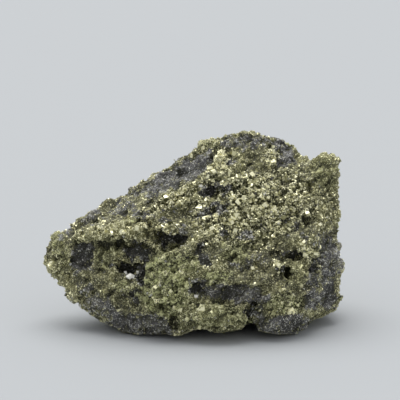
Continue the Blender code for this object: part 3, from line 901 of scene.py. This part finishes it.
class Finish:
    """A material under construction, with one method that adds nodes."""

    def __init__(self, name):
        self.material = bpy.data.materials.new(name)
        self.material.use_nodes = True
        self.tree = self.material.node_tree
        self.shader = self.tree.nodes["Principled BSDF"]

    def put(self, socket, value):
        """Links a value to a socket, or sets the socket to a number or a colour."""
        if isinstance(value, Value):
            self.tree.links.new(value.socket, socket)
        elif isinstance(value, tuple) and len(value) == 3 and socket.type == "RGBA":
            socket.default_value = (*value, 1)
        else:
            socket.default_value = value

    def add(self, kind, settings, values, output=0):
        """Adds a node, sets it up, fills its sockets and returns one of its outputs."""
        node = self.tree.nodes.new(kind)
        for name, setting in settings.items():
            setattr(node, name, setting)
        for name, value in values.items():
            self.put(node.inputs[name], value)
        return Value(self, node.outputs[output])

    def attribute(self, name):
        """A number that was stored on the mesh."""
        return self.add("ShaderNodeAttribute", {"attribute_name": name}, {}, "Fac")

    def object_place(self):
        """Where a point of the piece is, in metres."""
        return self.add("ShaderNodeTexCoord", {}, {}, "Object")

    def speckle(self, size, detail):
        """Noise with features of the given size, 0 to 1."""
        values = {"Vector": self.object_place(), "Scale": 1 / size, "Detail": detail}
        return self.add("ShaderNodeTexNoise", {}, values, 0)

    def between(self, value, low, high):
        """0 where the value is below low, 1 where it is above high."""
        values = {"Value": value, "From Min": low, "From Max": high}
        return self.add("ShaderNodeMapRange", {"clamp": True}, values, 0)

    def mixed(self, factor, first, second):
        """A colour between two colours."""
        node = {"data_type": "RGBA", "clamp_factor": True}
        return self.add("ShaderNodeMix", node, {0: factor, 6: first, 7: second}, 2)

    def set(self, name, value):
        """Fills one of the shader's own sockets."""
        self.put(self.shader.inputs[name], value)


# %% [markdown]
# Pyrite is pale brass where it is fresh and olive where it has dulled. Its grains are metal: their
# colour is the tint of what they mirror. A grain's own tone shifts it from olive up to pale brass or
# down to nearly black. That tone is partly chance and partly painted shade and light from the grain's
# height, so the dark end falls mostly in the creases and the pale end on the tops of the clumps. The
# bright patches lift it, and the green ones, which crumble, pull it to a rougher and less metallic
# olive green. A fine speckle varies how sharply each face mirrors.

# %% Pyrite
PYRITE_DARK = (0.064, 0.064, 0.022)
PYRITE_OLIVE = (0.665, 0.635, 0.38)
PYRITE_GREEN = (0.55, 0.565, 0.285)
PYRITE_PALE = (1.0, 0.965, 0.66)
PYRITE_SPECKLE = 0.35 * MM
# how far a bright patch lifts the tone towards pale, a green one lowers it, and how far a bright
# patch keeps it from dark
BRIGHT_LIFT, GREEN_DROP, BRIGHT_GUARD = 1.4, 0.65, 0.45
# the tones above 0, and the tones below it, over which pale and dark set in
PALE_TONES, DARK_TONES = (0.0, 2.2), (0.2, 1.9)
# the roughness of a clean face, and what the speckle and a green patch add
CLEAN_ROUGHNESS, SPECKLE_ROUGHNESS, GREEN_ROUGHNESS = 0.20, 0.25, 0.35
# how much of a metal clean pyrite is, and what a green patch takes off it
PYRITE_METAL, GREEN_METAL_LOSS = 0.8, 0.55


def pyrite_finish():
    """The finish of the pyrite grains."""
    finish = Finish("pyrite_grains")
    tone, bright, green = (finish.attribute(name) for name in ("tone", "bright", "green"))
    speckle = finish.speckle(PYRITE_SPECKLE, 2)
    body = finish.mixed(green, PYRITE_OLIVE, PYRITE_GREEN)
    # the tone carries painted shade and light from the height, so dark and pale are partly painted
    pale = finish.between(tone + BRIGHT_LIFT * bright - GREEN_DROP * green, *PALE_TONES)
    dark = finish.between(-BRIGHT_GUARD * bright - tone, *DARK_TONES)
    colour = finish.mixed(dark, finish.mixed(pale, body, PYRITE_PALE), PYRITE_DARK)
    roughness = CLEAN_ROUGHNESS + SPECKLE_ROUGHNESS * speckle + GREEN_ROUGHNESS * green
    finish.set("Base Color", colour)
    finish.set("Roughness", roughness)
    finish.set("Metallic", PYRITE_METAL - GREEN_METAL_LOSS * green)
    return finish.material


# %% [markdown]
# Fluorite is glassy. Here it is massive and full of fine ore, so no light comes through: it shows a
# dark grey, a few paler chips, and a glassy gloss on its cleavage faces. The tone that picks dark or
# pale carries the same painted shade and light from the height as the pyrite's. The grey is nearly
# neutral, because beside olive pyrite a neutral grey already looks faintly violet.

# %% Fluorite
FLUORITE_DARK = (0.045, 0.043, 0.043)
FLUORITE_GREY = (0.388, 0.388, 0.362)
FLUORITE_PALE = (0.74, 0.73, 0.65)
FLUORITE_SPECKLE = 0.4 * MM
# the tones over which grey follows on dark, and pale on grey
GREY_TONES, CHIP_TONES = (-1.1, 0.6), (0.5, 2.0)
# the roughness of a clean face, and what the speckle adds
GLASS_ROUGHNESS, GLASS_SPECKLE = 0.18, 0.3
FLUORITE_IOR = 1.43


def fluorite_finish():
    """The finish of the fluorite chips."""
    finish = Finish("fluorite_chips")
    tone = finish.attribute("tone")
    speckle = finish.speckle(FLUORITE_SPECKLE, 2)
    # the tone carries painted shade from the height, so the darkest chips sit mostly in the creases
    body = finish.mixed(finish.between(tone, *GREY_TONES), FLUORITE_DARK, FLUORITE_GREY)
    finish.set("Base Color", finish.mixed(finish.between(tone, *CHIP_TONES), body, FLUORITE_PALE))
    finish.set("Roughness", GLASS_ROUGHNESS + GLASS_SPECKLE * speckle)
    finish.set("IOR", FLUORITE_IOR)
    return finish.material


# %% [markdown]
# The white crystals are the simplest of all: clean, pale and glassy.

# %% White crystals
WHITE = (0.88, 0.86, 0.79)
WHITE_ROUGHNESS = 0.3


def white_finish():
    """The finish of the white crystals."""
    finish = Finish("white_crystals")
    finish.set("Base Color", WHITE)
    finish.set("Roughness", WHITE_ROUGHNESS)
    return finish.material


# %% [markdown]
# The skin shows only in the gaps between the grains, and its colours are painted shade: the colour
# of the mineral around it, darkened for the shade in the gaps, and nearly black in the creases, pits
# and holes, where the relief is low. A fine bump stands for the grains that are too small to model.

# %% Skin
# the minerals' colours darkened as painted shade of the gaps, and the nearly black painted shade of
# the creases
SKIN_PYRITE = (0.20, 0.195, 0.09)
SKIN_FLUORITE = (0.12, 0.115, 0.115)
PAINTED_CREASE_SHADE = (0.020, 0.020, 0.008)
SKIN_SPECKLE = 0.5 * MM
# the heights over which the mineral's colour follows on the painted crease shade, with the speckle's
# share
SKIN_HEIGHTS, SPECKLE_HEIGHT = (0.4, 1.2), 0.5
# the roughness, what the speckle takes off it, and how much of a metal bare pyrite is here
SKIN_ROUGHNESS, SKIN_GLOSS, SKIN_METAL = 0.75, 0.35, 0.45
BUMP_STRENGTH, BUMP_HEIGHT, BUMP_SIZE = 0.6, 0.15 * MM, 0.3 * MM


def skin_finish():
    """The finish of the stone between the grains, with painted shade in its creases."""
    finish = Finish("stone_skin")
    fluorite, height = finish.attribute("fluorite"), finish.attribute("height")
    speckle = finish.speckle(SKIN_SPECKLE, 3)
    mineral = finish.mixed(fluorite, SKIN_PYRITE, SKIN_FLUORITE)
    # painted shade: where the relief is low, the skin turns to the nearly black crease colour
    raised = finish.between(height + SPECKLE_HEIGHT * speckle, *SKIN_HEIGHTS)
    finish.set("Base Color", finish.mixed(raised, PAINTED_CREASE_SHADE, mineral))
    finish.set("Roughness", SKIN_ROUGHNESS - SKIN_GLOSS * speckle)
    finish.set("Metallic", SKIN_METAL * (1 - fluorite))
    bump = {"Strength": BUMP_STRENGTH, "Distance": BUMP_HEIGHT,
            "Height": finish.speckle(BUMP_SIZE, 3)}
    finish.set("Normal", finish.add("ShaderNodeBump", {}, bump))
    return finish.material


# %% [markdown]
# Every piece rides on the stone's one body and takes the finish of its mineral: the two minerals
# grew together, and the specimen is a single thing. The skin stands for the packed solid, which
# stays in the physics and isn't drawn.

# %% Dress the stone
finishes = {"pyrite": pyrite_finish(), "fluorite": fluorite_finish(), "white": white_finish()}
skin.data.materials.clear()
skin.data.materials.append(skin_finish())
skin.data.shade_smooth()
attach(skin, "root")
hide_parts(STONE)
for mineral, piece in grain_pieces:
    piece.data.materials.append(finishes[mineral])
    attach(piece, "root")
print("pieces:", 1 + len(grain_pieces))

# %% [markdown]
# Last, the size. The dressed stone is meant to fill the box of the imported solid and hardly outgrow
# it, so both boxes are printed side by side.

# %% Measure and finish
dressed_low, dressed_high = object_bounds()
sizes = {"cad": [list(cad_low), list(cad_high)],
         "visual": [list(dressed_low), list(dressed_high)]}
for name, (low, high) in sizes.items():
    print(name, [round((b - a) / MM, 2) for a, b in zip(low, high)])
